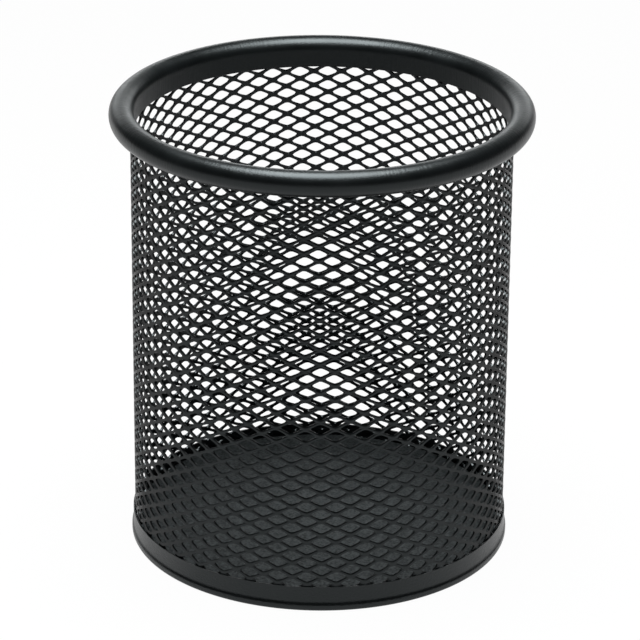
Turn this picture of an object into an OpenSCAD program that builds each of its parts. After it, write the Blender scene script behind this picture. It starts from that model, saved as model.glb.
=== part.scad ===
// Round pencil cup of expanded steel mesh, with a rolled rim hoop and a pressed base.
// Millimetres. +Z is up. The origin is the centre of the ring that the cup stands on.
// The wall is held between sheet at both ends: the hoop grips its upper edge,
// and the base grips its lower edge in a narrow channel that ends in a rounded foot.

/* [Cup] */
// Overall height
cup_h = 100.3; // [80:0.1:130]
// Diameter across the rolled bead at the top
cup_d = 90.6; // [70:0.1:110]

/* [Rim hoop] */
// Diameter of the rolled bead
bead_d = 5.5; // [4.4:0.1:6.4]
// How far the flat inner band reaches below the top of the cup
band_h = 6.4; // [5:0.1:12]
// Sheet thickness of the hoop
hoop_t = 0.4; // [0.3:0.05:0.6]

/* [Mesh wall] */
// Thickness across the expanded mesh, over its tilted strands
mesh_t = 0.7; // [0.5:0.05:0.9]

/* [Base pan] */
// Height of the skirt outside the mesh
lip_h = 5.6; // [4.5:0.1:10]
// Height of the floor's upper face
floor_h = 3.3; // [2:0.1:4]
// How far the foot stands out beyond the skirt
foot_bulge = 0.35; // [0.25:0.05:0.45]
// Sheet thickness of the base
pan_t = 0.3; // [0.3:0.05:0.4]

/* [Hidden] */

// Sides of a full circle. Every round face below is a true arc.
$fn = 96;

// The bead's section is a circle about this point.
bead_r = bead_d / 2;
bead_centre_r = cup_d / 2 - bead_r;
bead_centre_z = cup_h - bead_r;

// The hoop's flat band runs straight down from the bead's innermost side,
// and the mesh stands against the outside of that band.
band_inner_r = bead_centre_r - bead_r;
mesh_inner_r = band_inner_r + hoop_t;
mesh_outer_r = mesh_inner_r + mesh_t;

// The mesh ends a little below the bead's centre, inside the curl.
mesh_end_gap = 0.4;
mesh_top_z = bead_centre_z - mesh_end_gap;

// The curl closes on the outside of the mesh, this far round the bead.
curl_end_angle = 180 + acos((bead_centre_r - mesh_outer_r) / bead_r);

// The base's sheet runs inside the mesh, under it and up outside it.
channel_inner_r = mesh_inner_r - pan_t;
skirt_outer_r = mesh_outer_r + pan_t;

// The tight bends at the floor's edge and below it have this radius inside.
bend_inside_r = 0.2;
bend_outer_r = bend_inside_r + pan_t;

// The foot's outer bend, with a short upright above it.
foot_inside_r = 0.3;
foot_r = foot_inside_r + pan_t;
foot_upright = 0.6;
foot_centre_r = skirt_outer_r + foot_bulge - foot_r;

// The foot narrows to the skirt in a double curve: a shoulder, then a hollow flare.
// They meet at an angle whose cosine is 0.8 and sine 0.6, so that the point where
// they touch is a plain decimal and the sheet joins there without a gap.
waist_cos = 0.8;
waist_angle = acos(waist_cos);
shoulder_share = 0.4;
curve_r = foot_bulge / (1 - waist_cos);
shoulder_r = shoulder_share * curve_r;
shoulder_centre_r = skirt_outer_r + foot_bulge - shoulder_r;
shoulder_z = foot_r + foot_upright;
flare_r = curve_r - shoulder_r;
flare_centre_r = skirt_outer_r + flare_r;
flare_z = shoulder_z + curve_r * sin(waist_angle);

// A wedge from the centre, between two angles less than 180 degrees apart.
module wedge(reach, from_angle, to_angle) {
    middle_angle = (from_angle + to_angle) / 2;
    polygon([
        [0, 0],
        reach * [cos(from_angle), sin(from_angle)],
        reach * [cos(middle_angle), sin(middle_angle)],
        reach * [cos(to_angle), sin(to_angle)]
    ]);
}

// The base's sheet where it curves about [r, z], between two angles.
module bend(r, z, outer_r, from_angle, to_angle) {
    translate([r, z])
        intersection() {
            difference() {
                circle(r = outer_r);
                circle(r = outer_r - pan_t);
            }
            wedge(2 * outer_r, from_angle, to_angle);
        }
}

// Flat or upright sheet between two corners of the section.
module sheet(r_low, z_low, r_high, z_high) {
    translate([r_low, z_low]) square([r_high - r_low, z_high - z_low]);
}

// Solid tube that fills the space of the open mesh.
module mesh_wall() {
    color([0.13, 0.13, 0.14])
        rotate_extrude()
            sheet(mesh_inner_r, bend_outer_r, mesh_outer_r, mesh_top_z);
}

// One strip: a flat band inside the mesh, rolled outwards into a hollow bead.
module rim_hoop() {
    color([0.07, 0.07, 0.08])
        rotate_extrude() {
            translate([bead_centre_r, bead_centre_z])
                difference() {
                    circle(r = bead_r);
                    circle(r = bead_r - hoop_t);
                    wedge(2 * bead_r, 180, curl_end_angle);
                }
            sheet(band_inner_r, cup_h - band_h, mesh_inner_r, bead_centre_z);
        }
}

// One pressing: a raised floor, a channel with a rounded foot, and an upright skirt.
module base_pan() {
    floor_bend_r = mesh_inner_r - bend_outer_r;
    floor_bend_z = floor_h - bend_outer_r;
    foot_inner_r = channel_inner_r + bend_outer_r;
    foot_outer_r = foot_centre_r + foot_r;
    color([0.10, 0.10, 0.11])
        rotate_extrude() {
            sheet(0, floor_h - pan_t, floor_bend_r, floor_h);
            bend(floor_bend_r, floor_bend_z, bend_outer_r, 0, 90);
            sheet(channel_inner_r, bend_outer_r, mesh_inner_r, floor_bend_z);
            bend(foot_inner_r, bend_outer_r, bend_outer_r, 180, 270);
            sheet(foot_inner_r, 0, foot_centre_r, pan_t);
            bend(foot_centre_r, foot_r, foot_r, -90, 0);
            sheet(foot_outer_r - pan_t, foot_r, foot_outer_r, shoulder_z);
            bend(shoulder_centre_r, shoulder_z, shoulder_r, 0, waist_angle);
            bend(flare_centre_r, flare_z, flare_r + pan_t, 180, 180 + waist_angle);
            sheet(mesh_outer_r, flare_z, skirt_outer_r, lip_h);
        }
}

mesh_wall();
rim_hoop();
base_pan();
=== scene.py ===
"""Looks of the round pen holder cup: a wall of expanded steel mesh between a rolled rim and a
pressed base, all powder coated black.

Everything is in metres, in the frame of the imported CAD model: +Z is up, and the cup stands on
z = 0 with its axis on x = y = 0. The back of the cup is towards +Y and the camera towards -Y.
"""

import math

import bmesh
import bpy
from mathutils import Matrix, Vector


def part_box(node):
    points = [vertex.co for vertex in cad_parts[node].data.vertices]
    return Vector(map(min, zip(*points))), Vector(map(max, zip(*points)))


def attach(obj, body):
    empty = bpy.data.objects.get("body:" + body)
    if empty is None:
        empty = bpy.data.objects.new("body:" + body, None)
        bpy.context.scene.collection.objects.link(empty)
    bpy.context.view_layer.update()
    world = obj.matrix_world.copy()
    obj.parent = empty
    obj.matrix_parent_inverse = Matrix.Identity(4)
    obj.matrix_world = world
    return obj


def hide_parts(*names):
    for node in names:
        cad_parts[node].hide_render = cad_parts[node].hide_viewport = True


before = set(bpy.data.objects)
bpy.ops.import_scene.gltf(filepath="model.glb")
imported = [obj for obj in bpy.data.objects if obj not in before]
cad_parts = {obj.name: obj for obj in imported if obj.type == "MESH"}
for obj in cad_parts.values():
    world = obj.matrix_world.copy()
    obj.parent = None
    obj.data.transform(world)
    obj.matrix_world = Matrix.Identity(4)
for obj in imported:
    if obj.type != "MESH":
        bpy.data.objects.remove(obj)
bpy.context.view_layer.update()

MM = 0.001

# ---------------------------------------------------------------- sizes, from the CAD nodes

rim_low, rim_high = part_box("rim_hoop")
wall_low, wall_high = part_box("mesh_wall")
pan_low, pan_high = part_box("base_pan")

# Rim hoop: one strip, with a flat band inside and a hollow bead rolled outwards.
HOOP_T = 0.4 * MM
BEAD_R = 2.75 * MM
BEAD_CENTRE_R = rim_high.x - BEAD_R
BEAD_CENTRE_Z = rim_high.z - BEAD_R
BAND_INNER_R = BEAD_CENTRE_R - BEAD_R
BAND_LOW_Z = rim_low.z

# Mesh wall.
WALL_OUTER_R = wall_high.x
WALL_INNER_R = BAND_INNER_R + HOOP_T
WALL_MID_R = (WALL_OUTER_R + WALL_INNER_R) / 2

# Base pan: a floor, a tight channel under the mesh, a rounded foot and a skirt outside it.
PAN_T = 0.3 * MM
SKIRT_OUTER_R = WALL_OUTER_R + PAN_T
CHANNEL_INNER_R = WALL_INNER_R - PAN_T
LIP_TOP_Z = pan_high.z
FLOOR_TOP_Z = 3.3 * MM
BEND_INSIDE_R = 0.2 * MM
BEND_OUTER_R = BEND_INSIDE_R + PAN_T
FOOT_OUTER_R = pan_high.x
FOOT_INSIDE_R = 0.3 * MM
FOOT_R = FOOT_INSIDE_R + PAN_T
FOOT_CENTRE_R = FOOT_OUTER_R - FOOT_R
FOOT_UPRIGHT = 0.6 * MM

# The foot narrows to the skirt in a double curve: a shoulder, then a hollow flare.
WAIST_COS = 0.8
SHOULDER_SHARE = 0.4
SHOULDER_Z = FOOT_R + FOOT_UPRIGHT
WAIST_ANGLE = math.degrees(math.acos(WAIST_COS))
CURVE_R = (FOOT_OUTER_R - SKIRT_OUTER_R) / (1 - WAIST_COS)
SHOULDER_R = SHOULDER_SHARE * CURVE_R
SHOULDER_CENTRE_R = FOOT_OUTER_R - SHOULDER_R
FLARE_R = CURVE_R - SHOULDER_R
FLARE_CENTRE_R = SKIRT_OUTER_R + FLARE_R
FLARE_Z = SHOULDER_Z + CURVE_R * math.sin(math.radians(WAIST_ANGLE))

# Where the floor has rings between its centre and its edge, as shares of its radius.
FLOOR_RINGS = (0.25, 0.5, 0.75)

# Steps of a round piece about the axis, and the angle that one step of a small arc may turn.
STEPS_ROUND = 288
ARC_STEP = 7.5

# Faces that meet at more than this angle, in degrees, keep a sharp edge.
SHARP_ANGLE = 40

# ---------------------------------------------------------------- the expanded mesh

# The sheet has 41 openings in each row round the cup. Lattice steps are half openings:
# u counts half widths round from the back through +X, and v counts half heights downwards.
OPENINGS_ROUND = 41
HALF_WIDTH = math.pi * WALL_MID_R / OPENINGS_ROUND
HALF_HEIGHT = 1.6415 * MM

# How the sheet was rolled: its rows climb a little towards +X, and its columns lean.
FIRST_ROW_Z = 79.54 * MM
ROW_FRONT_RISE = 0.195 * MM
ROW_SIDE_RISE = 0.43 * MM
ROW_WAVE = 0.046 * MM
COLUMN_START = 0.0381
COLUMN_SQUEEZE = 0.025
LEAN = -0.18
LEAN_WAVE = -0.548
LEAN_CENTRE_Z = 50.77 * MM
LEAN_CENTRE_SHIFT = 28.4 * MM

# Half of an opening's outline, from its rounded top to its V-shaped bottom: the other half
# mirrors it. Each point is x and z from the opening's centre, then how far the sheet's outer
# and inner faces lie outwards from the middle of the sheet there, and how far the opening
# leads up from the inner face to the middle, and as far again from there to the outer face.
# All in millimetres.
OUTLINE = [
    (0.00, 1.15, 0.30, -0.20, 0.035),
    (0.42, 1.09, 0.28, -0.20, 0.035),
    (1.03, 0.80, 0.26, -0.20, 0.035),
    (1.70, 0.45, 0.26, -0.20, 0.035),
    (2.15, 0.04, 0.16, -0.24, 0.035),
    (1.72, -0.41, 0.08, -0.26, 0.035),
    (0.98, -0.76, 0.08, -0.26, 0.035),
    (0.32, -1.07, 0.08, -0.26, 0.100),
    (0.00, -1.18, 0.08, -0.26, 0.130),
]
# The faces' places at the middle of a bond, where four openings meet.
BOND_OUTER = 0.27
BOND_INNER = -0.26

# The sheet is cut off here, inside the base's channel and inside the rim's curl.
CUT_BACK = 0.1 * MM
CUT_TOLERANCE = 1e-8
# Rows made past each end, which the cuts take off.
SPARE_ROWS = 2
WALL_CUT_LOW = wall_low.z + CUT_BACK
WALL_CUT_HIGH = wall_high.z - CUT_BACK


def wall_point(u, v, outwards):
    """Place of the lattice point (u, v), some way outwards from the middle of the sheet."""
    turn = math.pi * u / OPENINGS_ROUND
    toward_front = 1 - math.cos(turn)
    height = FIRST_ROW_Z - HALF_HEIGHT * v
    height += ROW_FRONT_RISE * toward_front + ROW_SIDE_RISE * math.sin(turn)
    height += ROW_WAVE * math.sin(2 * turn)
    lean = LEAN + LEAN_WAVE * math.cos(turn)
    lean_centre = LEAN_CENTRE_Z + LEAN_CENTRE_SHIFT * math.cos(turn)
    angle = COLUMN_START + turn - COLUMN_SQUEEZE * toward_front + lean * (height - lean_centre)
    r = WALL_MID_R + outwards
    return (r * math.sin(angle), r * math.cos(angle), height)


def opening_outline():
    """The whole outline from its top: down the +x side and back up the other."""
    left = [(-x, z, out, inn, rise) for x, z, out, inn, rise in reversed(OUTLINE[1:-1])]
    return OUTLINE + left


def build_mesh_wall():
    """The wall as one closed mesh: a tile round each opening, from bond to bond."""
    outline = opening_outline()
    count = len(outline)
    half = count // 2
    quarter = half // 2
    points = []
    faces = []
    bonds = {}

    def bond(u, v):
        key = (u % (2 * OPENINGS_ROUND), v)
        if key not in bonds:
            bonds[key] = len(points)
            points.append(wall_point(key[0], v, BOND_OUTER * MM))
            points.append(wall_point(key[0], v, BOND_INNER * MM))
        return bonds[key]

    first_v = math.floor((FIRST_ROW_Z - WALL_CUT_HIGH) / HALF_HEIGHT) - SPARE_ROWS
    last_v = math.ceil((FIRST_ROW_Z - WALL_CUT_LOW) / HALF_HEIGHT) + SPARE_ROWS
    for v in range(first_v, last_v + 1):
        for u in range(v % 2, 2 * OPENINGS_ROUND, 2):
            start = len(points)
            for x, z, out, inn, rise in outline:
                side = u + x * MM / HALF_WIDTH
                points.append(wall_point(side, v - (z + rise) * MM / HALF_HEIGHT, out * MM))
                points.append(wall_point(side, v - (z - rise) * MM / HALF_HEIGHT, inn * MM))
            corners = [bond(u, v - 1), bond(u + 1, v), bond(u, v + 1), bond(u - 1, v)]
            # Both faces of the sheet fan out from each stretch of the outline to its bond.
            for i in range(count):
                here = start + 2 * i
                after = start + 2 * ((i + 1) % count)
                faces.append((here, after, after + 1, here + 1))
                corner = corners[((i + quarter // 2) // quarter) % 4]
                faces.append((here, after, corner))
                faces.append((after + 1, here + 1, corner + 1))
            # One more face a side closes the gap between each bond and the next.
            for k in range(4):
                middle = start + 2 * (quarter * k + quarter // 2)
                near, far = corners[k], corners[(k + 1) % 4]
                faces.append((middle, far, near))
                faces.append((far + 1, middle + 1, near + 1))
    return points, faces


def cut_level(bm, z, keep_above):
    """Cuts the sheet off square at a level and closes each cut strand."""
    cut = bmesh.ops.bisect_plane(
        bm,
        geom=bm.verts[:] + bm.edges[:] + bm.faces[:],
        dist=CUT_TOLERANCE,
        plane_co=(0, 0, z),
        plane_no=(0, 0, 1),
        clear_inner=keep_above,
        clear_outer=not keep_above,
    )
    edges = [item for item in cut["geom_cut"] if isinstance(item, bmesh.types.BMEdge)]
    bmesh.ops.holes_fill(bm, edges=edges, sides=0)


def make_mesh_wall():
    """The wall as a piece, cut off square at both ends."""
    points, faces = build_mesh_wall()
    data = bpy.data.meshes.new("wire_mesh")
    data.from_pydata(points, [], faces)
    bm = bmesh.new()
    bm.from_mesh(data)
    cut_level(bm, WALL_CUT_LOW, keep_above=True)
    cut_level(bm, WALL_CUT_HIGH, keep_above=False)
    bmesh.ops.recalc_face_normals(bm, faces=bm.faces[:])
    return finished_piece("wire_mesh", data, bm)


# ---------------------------------------------------------------- round pieces


def arc(centre_r, centre_z, radius, start, end):
    """Points along an arc in the section, between two angles in degrees."""
    steps = max(2, math.ceil(abs(end - start) / ARC_STEP))
    angles = [math.radians(start + (end - start) * i / steps) for i in range(steps + 1)]
    return [(centre_r + radius * math.cos(a), centre_z + radius * math.sin(a)) for a in angles]


def rim_section():
    """Closed outline of the rim strip: over the bead, round its end, back, and round the band."""
    half_t = HOOP_T / 2
    middle_r = BEAD_R - half_t
    clear = BEAD_CENTRE_R - WALL_OUTER_R - half_t
    end = -180 + math.degrees(math.acos(clear / middle_r))
    end_r = BEAD_CENTRE_R + middle_r * math.cos(math.radians(end))
    end_z = BEAD_CENTRE_Z + middle_r * math.sin(math.radians(end))
    band_mid_r = BAND_INNER_R + half_t
    band_end_z = BAND_LOW_Z + half_t
    section = arc(BEAD_CENTRE_R, BEAD_CENTRE_Z, BEAD_R, 180, end)
    section += arc(end_r, end_z, half_t, end, end - 180)[1:]
    section += arc(BEAD_CENTRE_R, BEAD_CENTRE_Z, BEAD_R - HOOP_T, end, 180)[1:]
    section += arc(band_mid_r, band_end_z, half_t, 0, -180)
    return section


def pan_section():
    """Outline of the base's sheet from the axis, along its upper face, and back below it."""
    floor_bend_r = WALL_INNER_R - BEND_OUTER_R
    floor_bend_z = FLOOR_TOP_Z - BEND_OUTER_R
    foot_bend_r = CHANNEL_INNER_R + BEND_OUTER_R
    section = [(0, FLOOR_TOP_Z)]
    section += [(floor_bend_r * share, FLOOR_TOP_Z) for share in FLOOR_RINGS]
    section += arc(floor_bend_r, floor_bend_z, BEND_OUTER_R, 90, 0)
    section += arc(foot_bend_r, BEND_OUTER_R, BEND_INSIDE_R, 180, 270)
    section += arc(FOOT_CENTRE_R, FOOT_R, FOOT_R - PAN_T, -90, 0)
    section += arc(SHOULDER_CENTRE_R, SHOULDER_Z, SHOULDER_R - PAN_T, 0, WAIST_ANGLE)
    section += arc(FLARE_CENTRE_R, FLARE_Z, FLARE_R + PAN_T, 180 + WAIST_ANGLE, 180)[1:]
    section += [(WALL_OUTER_R, LIP_TOP_Z), (SKIRT_OUTER_R, LIP_TOP_Z)]
    section += arc(FLARE_CENTRE_R, FLARE_Z, FLARE_R, 180, 180 + WAIST_ANGLE)
    section += arc(SHOULDER_CENTRE_R, SHOULDER_Z, SHOULDER_R, WAIST_ANGLE, 0)[1:]
    section += arc(FOOT_CENTRE_R, FOOT_R, FOOT_R, 0, -90)
    section += arc(foot_bend_r, BEND_OUTER_R, BEND_OUTER_R, 270, 180)
    section += arc(floor_bend_r, floor_bend_z, BEND_INSIDE_R, 0, 90)
    floor_rings = reversed(FLOOR_RINGS)
    section += [(floor_bend_r * share, FLOOR_TOP_Z - PAN_T) for share in floor_rings]
    section += [(0, FLOOR_TOP_Z - PAN_T)]
    return section


def make_round_piece(name, section, closed):
    """Turns a section about the axis. An open section starts and ends on the axis."""
    data = bpy.data.meshes.new(name)
    bm = bmesh.new()
    rings = []
    for r, z in section:
        if r == 0:
            rings.append([bm.verts.new((0, 0, z))])
            continue
        turns = [2 * math.pi * i / STEPS_ROUND for i in range(STEPS_ROUND)]
        rings.append([bm.verts.new((r * math.cos(t), r * math.sin(t), z)) for t in turns])
    pairs = list(zip(rings, rings[1:]))
    if closed:
        pairs.append((rings[-1], rings[0]))
    for low, high in pairs:
        for i in range(STEPS_ROUND):
            j = (i + 1) % STEPS_ROUND
            if len(low) == 1:
                bm.faces.new((low[0], high[j], high[i]))
            elif len(high) == 1:
                bm.faces.new((low[i], low[j], high[0]))
            else:
                bm.faces.new((low[i], low[j], high[j], high[i]))
    bmesh.ops.recalc_face_normals(bm, faces=bm.faces[:])
    return finished_piece(name, data, bm)


def finished_piece(name, data, bm):
    """Writes the bmesh back, shades it smooth but for its sharp edges, and links the piece."""
    bm.to_mesh(data)
    bm.free()
    data.shade_smooth()
    data.set_sharp_from_angle(angle=math.radians(SHARP_ANGLE))
    piece = bpy.data.objects.new(name, data)
    bpy.context.scene.collection.objects.link(piece)
    return piece


# ---------------------------------------------------------------- materials

# The part of a noise's values that a range or a mix of colours is spread over.
NOISE_RANGE = (0.30, 0.70)
COLOUR_RANGE = (0.35, 0.65)


class Shader:
    """A material's node tree, with one Principled shader, and short calls to add to it."""

    def __init__(self, name):
        self.material = bpy.data.materials.new(name)
        self.material.use_nodes = True
        self.tree = self.material.node_tree
        self.tree.nodes.clear()
        self.output = self.add("ShaderNodeOutputMaterial")
        self.coat = self.add("ShaderNodeBsdfPrincipled")
        self.link(self.coat, "BSDF", self.output, "Surface")

    def add(self, kind, **settings):
        node = self.tree.nodes.new(kind)
        for key, value in settings.items():
            setattr(node, key, value)
        return node

    def link(self, source, output, target, entry):
        self.tree.links.new(source.outputs[output], target.inputs[entry])

    def place(self):
        """Where a point lies on the piece, in metres."""
        return self.add("ShaderNodeTexCoord"), "Object"

    def noise(self, size, detail, stretch=None):
        """Noise with grains of about the given size, in metres."""
        source, output = self.polar(stretch) if stretch else self.place()
        node = self.add("ShaderNodeTexNoise")
        node.inputs["Scale"].default_value = 1 / size
        node.inputs["Detail"].default_value = detail
        self.link(source, output, node, "Vector")
        return node

    def polar(self, stretch):
        """Coordinates round the axis, across it and up, each drawn out by a factor."""
        source, output = self.place()
        split = self.add("ShaderNodeSeparateXYZ")
        self.link(source, output, split, "Vector")
        angle = self.add("ShaderNodeMath", operation="ARCTAN2")
        self.link(split, "Y", angle, 0)
        self.link(split, "X", angle, 1)
        radius = self.add("ShaderNodeVectorMath", operation="LENGTH")
        flat = self.add("ShaderNodeCombineXYZ")
        self.link(split, "X", flat, "X")
        self.link(split, "Y", flat, "Y")
        self.link(flat, "Vector", radius, 0)
        joined = self.add("ShaderNodeCombineXYZ")
        for output_name, node, entry, factor in (
            ("Value", angle, "X", BEAD_CENTRE_R / stretch[0]),
            ("Value", radius, "Y", 1 / stretch[1]),
            ("Z", split, "Z", 1 / stretch[2]),
        ):
            scaled = self.add("ShaderNodeMath", operation="MULTIPLY")
            self.link(node, output_name, scaled, 0)
            scaled.inputs[1].default_value = factor
            self.link(scaled, "Value", joined, entry)
        return joined, "Vector"

    def spread(self, source, output, low, high):
        """Takes a noise to the range low to high."""
        node = self.add("ShaderNodeMapRange")
        node.inputs["From Min"].default_value = NOISE_RANGE[0]
        node.inputs["From Max"].default_value = NOISE_RANGE[1]
        node.inputs["To Min"].default_value = low
        node.inputs["To Max"].default_value = high
        self.link(source, output, node, "Value")
        return node

    def colours(self, source, output, dark, light):
        """Mixes two colours by a noise."""
        ramp = self.add("ShaderNodeValToRGB")
        ramp.color_ramp.elements[0].position = COLOUR_RANGE[0]
        ramp.color_ramp.elements[0].color = (*dark, 1)
        ramp.color_ramp.elements[1].position = COLOUR_RANGE[1]
        ramp.color_ramp.elements[1].color = (*light, 1)
        self.link(source, output, ramp, "Fac")
        self.link(ramp, "Color", self.coat, "Base Color")

    def bumps(self, layers):
        """Lays bumps over each other: each is a noise and its depth in metres."""
        under = None
        for node, depth in layers:
            bump = self.add("ShaderNodeBump")
            bump.inputs["Strength"].default_value = 1
            bump.inputs["Distance"].default_value = depth
            self.link(node, "Fac", bump, "Height")
            if under:
                self.link(under, "Normal", bump, "Normal")
            under = bump
        self.link(under, "Normal", self.coat, "Normal")


# The coat on every piece. Its colour and gloss vary from patch to patch.
COAT_IOR = 1.40
COAT_SPECULAR = 0.5
COAT_DARK = (0.0011, 0.0015, 0.0016)
COAT_LIGHT = (0.0019, 0.0025, 0.0027)
COAT_TINT = (0.89, 0.98, 1.0)
PATCH_SIZE = 9 * MM
SMOOTHER = 0.04
ROUGHER = 0.05
WAVE_SIZE = 2.4 * MM
WAVE_DEPTH = 0.013 * MM
GRAIN_SIZE = 0.35 * MM
STREAK_WIDTH = 0.45 * MM
STREAK_STRETCH = (1, 9, 9)


def powder_coat(name, roughness, grain, streaks=0.0):
    """Satin black powder coat: a fine grain, a slow wave, uneven gloss, and streaks if asked."""
    shader = Shader(name)
    shader.coat.inputs["IOR"].default_value = COAT_IOR
    shader.coat.inputs["Specular Tint"].default_value = (*COAT_TINT, 1)
    fine = shader.noise(GRAIN_SIZE, detail=3)
    wave = shader.noise(WAVE_SIZE, detail=1)
    patches = shader.noise(PATCH_SIZE, detail=4)
    shader.colours(patches, "Fac", COAT_DARK, COAT_LIGHT)
    gloss = shader.spread(patches, "Fac", roughness - SMOOTHER, roughness + ROUGHER)
    shader.link(gloss, "Result", shader.coat, "Roughness")
    layers = [(wave, WAVE_DEPTH), (fine, grain)]
    if streaks:
        fibres = shader.noise(STREAK_WIDTH, detail=3, stretch=STREAK_STRETCH)
        layers.append((fibres, streaks))
    shader.bumps(layers)
    return shader


# The mesh's gloss fades between these two shares of turning away, 0 face on and 1 edge on.
EDGE_ON_FROM = 0.25
EDGE_ON_TO = 0.65
EDGE_ON_SPECULAR = 0.04


def mesh_coat():
    """The mesh's powder coat. Its gloss fades seen edge on, only for looks: a real one's grows."""
    shader = powder_coat("mesh_powder_coat", roughness=0.21, grain=0.0022 * MM)
    edge_on = shader.add("ShaderNodeLayerWeight")
    fade = shader.add("ShaderNodeMapRange")
    for entry, value in (
        ("From Min", EDGE_ON_FROM),
        ("From Max", EDGE_ON_TO),
        ("To Min", COAT_SPECULAR),
        ("To Max", EDGE_ON_SPECULAR),
    ):
        fade.inputs[entry].default_value = value
    shader.link(edge_on, "Facing", fade, "Value")
    shader.link(fade, "Result", shader.coat, "Specular IOR Level")
    return shader


# The finish of the floor, with specks of gloss.
FLOOR_ROUGHNESS = 0.68
FLOOR_SPECULAR = (0.1, 1.0)
FLOOR_GRAIN = 0.50 * MM


def base_coat():
    """The base's powder coat: satin outside the mesh, and dull on the floor and under it."""
    shader = powder_coat("base_powder_coat", roughness=0.32, grain=0.100 * MM)
    flat, output = shader.polar((1, 1, 1))
    split = shader.add("ShaderNodeSeparateXYZ")
    shader.link(flat, output, split, "Vector")
    inside = shader.add("ShaderNodeMapRange")
    inside.inputs["From Min"].default_value = WALL_OUTER_R
    inside.inputs["From Max"].default_value = WALL_INNER_R
    shader.link(split, "Y", inside, "Value")
    satin = shader.coat.inputs["Roughness"].links[0].from_node
    rough = shader.add("ShaderNodeMix")
    shader.link(inside, "Result", rough, "Factor")
    shader.link(satin, "Result", rough, "A")
    rough.inputs["B"].default_value = FLOOR_ROUGHNESS
    shader.link(rough, "Result", shader.coat, "Roughness")
    specks = shader.spread(shader.noise(FLOOR_GRAIN, detail=2), "Fac", *FLOOR_SPECULAR)
    glint = shader.add("ShaderNodeMix")
    shader.link(inside, "Result", glint, "Factor")
    glint.inputs["A"].default_value = COAT_SPECULAR
    shader.link(specks, "Result", glint, "B")
    shader.link(glint, "Result", shader.coat, "Specular IOR Level")
    return shader


# The table is white to the first distance from the cup's axis, and grey from the second.
TABLE_COLOUR = (0.02, 0.02, 0.02, 1)
WHITE_TO = 0.60
GREY_FROM = 1.60
WHITE_GLOW = 0.97
GREY_GLOW = 0.55


def white_surface():
    """The studio's white table: it glows evenly round the cup, and less far from it."""
    shader = Shader("studio_white")
    shader.coat.inputs["Base Color"].default_value = TABLE_COLOUR
    shader.coat.inputs["Roughness"].default_value = 1
    shader.coat.inputs["Specular IOR Level"].default_value = 0
    shader.coat.inputs["Emission Color"].default_value = (1, 1, 1, 1)
    source, output = shader.place()
    far = shader.add("ShaderNodeVectorMath", operation="LENGTH")
    shader.link(source, output, far, 0)
    glow = shader.add("ShaderNodeMapRange", interpolation_type="SMOOTHSTEP")
    for entry, value in (
        ("From Min", WHITE_TO),
        ("From Max", GREY_FROM),
        ("To Min", WHITE_GLOW),
        ("To Max", GREY_GLOW),
    ):
        glow.inputs[entry].default_value = value
    shader.link(far, "Value", glow, "Value")
    shader.link(glow, "Result", shader.coat, "Emission Strength")
    return shader.material


# ---------------------------------------------------------------- the studio

# Brightness by direction: a bright low band behind the cup, and dim all round elsewhere.
BACK_LIGHT = 3.4
BACK_HORIZON = 0.35
BACK_START_Z = 0.06
BACK_FULL_Z = 0.14
BACK_FROM_Y = 0.75
BACK_TO_Y = 0.95
BACK_TOP_Z = 0.20
BACK_END_Z = 0.36
DARK_SIDE = 0.05
# One round soft lamp close above the cup.
LAMP_PLACE = Vector((-0.01, -0.005, 0.44))
LAMP_SIZE = 0.31
LAMP_WATTS = 4.0
COOL_WHITE = (0.97, 0.995, 1.0)
# Half the side of the square table.
TABLE_HALF = 4.0


def studio_light():
    """The world: a soft gradient by direction, with nothing in it that has an edge."""
    world = bpy.data.worlds.new("studio")
    bpy.context.scene.world = world
    world.use_nodes = True
    tree = world.node_tree
    tree.nodes.clear()
    output = tree.nodes.new("ShaderNodeOutputWorld")
    background = tree.nodes.new("ShaderNodeBackground")
    background.inputs["Color"].default_value = (*COOL_WHITE, 1)
    tree.links.new(background.outputs["Background"], output.inputs["Surface"])
    direction = tree.nodes.new("ShaderNodeTexCoord")
    split = tree.nodes.new("ShaderNodeSeparateXYZ")
    tree.links.new(direction.outputs["Generated"], split.inputs["Vector"])

    def ramp(axis, start, end):
        node = tree.nodes.new("ShaderNodeMapRange")
        node.interpolation_type = "SMOOTHSTEP"
        node.inputs["From Min"].default_value = start
        node.inputs["From Max"].default_value = end
        tree.links.new(split.outputs[axis], node.inputs["Value"])
        return node

    low = ramp("Z", BACK_TOP_Z, BACK_END_Z)
    low.inputs["To Max"].default_value = DARK_SIDE
    rise = ramp("Z", BACK_START_Z, BACK_FULL_Z)
    rise.inputs["To Min"].default_value = BACK_HORIZON
    rise.inputs["To Max"].default_value = BACK_LIGHT
    tree.links.new(rise.outputs["Result"], low.inputs["To Min"])
    back = ramp("Y", BACK_FROM_Y, BACK_TO_Y)
    back.inputs["To Min"].default_value = DARK_SIDE
    tree.links.new(low.outputs["Result"], back.inputs["To Max"])
    tree.links.new(back.outputs["Result"], background.inputs["Strength"])


def lamp():
    """The soft lamp. It faces straight down."""
    data = bpy.data.lights.new("soft_lamp", "AREA")
    data.shape = "DISK"
    data.size = LAMP_SIZE
    data.energy = LAMP_WATTS
    data.color = COOL_WHITE
    light = bpy.data.objects.new("soft_lamp", data)
    light.location = LAMP_PLACE
    light.visible_camera = False
    bpy.context.scene.collection.objects.link(light)


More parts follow.
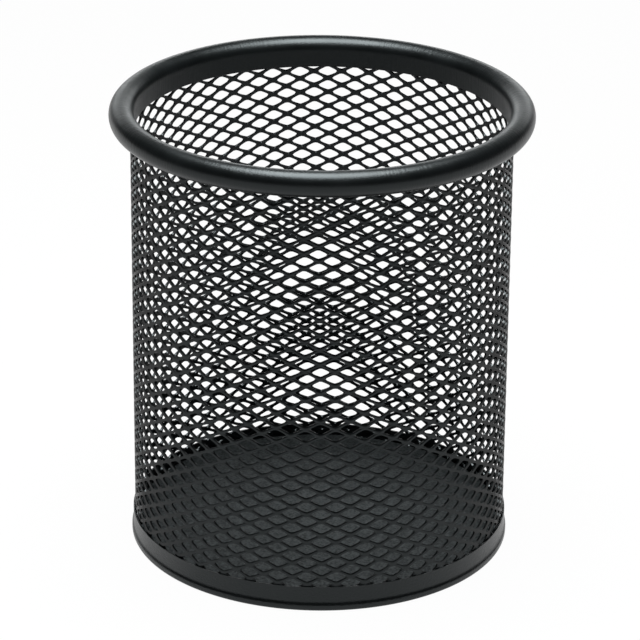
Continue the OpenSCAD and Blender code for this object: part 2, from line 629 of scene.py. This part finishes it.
def table():
    """A wide white table, level with the cup's foot."""
    data = bpy.data.meshes.new("table")
    sides = ((-1, -1), (1, -1), (1, 1), (-1, 1))
    corners = [(x * TABLE_HALF, y * TABLE_HALF, 0) for x, y in sides]
    data.from_pydata(corners, [], [(0, 1, 2, 3)])
    data.materials.append(white_surface())
    top = bpy.data.objects.new("table", data)
    bpy.context.scene.collection.objects.link(top)


# The camera looks down at the cup from the front, from about 0.76 m away.
CAMERA_PLACE = Vector((0, -0.69557, 0.34880))
CAMERA_AIM = Vector((-0.00011, 0, 0.04952))
CAMERA_ROLL = math.radians(0.4685)
CAMERA_LENS = 195.74
SENSOR = 36
CLIP_NEAR = 0.05
CLIP_FAR = 20


def camera():
    """A long lens, aimed down at the cup and rolled a little."""
    data = bpy.data.cameras.new("camera")
    data.sensor_width = SENSOR
    data.lens = CAMERA_LENS
    data.clip_start = CLIP_NEAR
    data.clip_end = CLIP_FAR
    forward = (CAMERA_AIM - CAMERA_PLACE).normalized()
    level = forward.cross(Vector((0, 0, 1))).normalized()
    upright = level.cross(forward)
    right = level * math.cos(CAMERA_ROLL) + upright * math.sin(CAMERA_ROLL)
    up = upright * math.cos(CAMERA_ROLL) - level * math.sin(CAMERA_ROLL)
    view = bpy.data.objects.new("camera", data)
    view.matrix_world = Matrix.Translation(CAMERA_PLACE) @ Matrix(
        (right, up, -forward)
    ).transposed().to_4x4()
    bpy.context.scene.collection.objects.link(view)
    bpy.context.scene.camera = view


# ---------------------------------------------------------------- the pieces


def place_piece(piece, node, finish):
    """Gives a piece its finish, puts it under the root body, and hides the CAD node it stands for.
    """
    piece.data.materials.append(finish.material)
    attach(piece, "root")
    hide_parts(node)


camera()
studio_light()
lamp()
table()

place_piece(
    make_mesh_wall(),
    "mesh_wall",
    mesh_coat(),
)
place_piece(
    make_round_piece("rolled_rim", rim_section(), closed=True),
    "rim_hoop",
    powder_coat("rim_powder_coat", roughness=0.34, grain=0.020 * MM, streaks=0.050 * MM),
)
place_piece(
    make_round_piece("pressed_base", pan_section(), closed=False),
    "base_pan",
    base_coat(),
)

view = bpy.context.scene.view_settings
view.view_transform = "Standard"
view.look = "None"
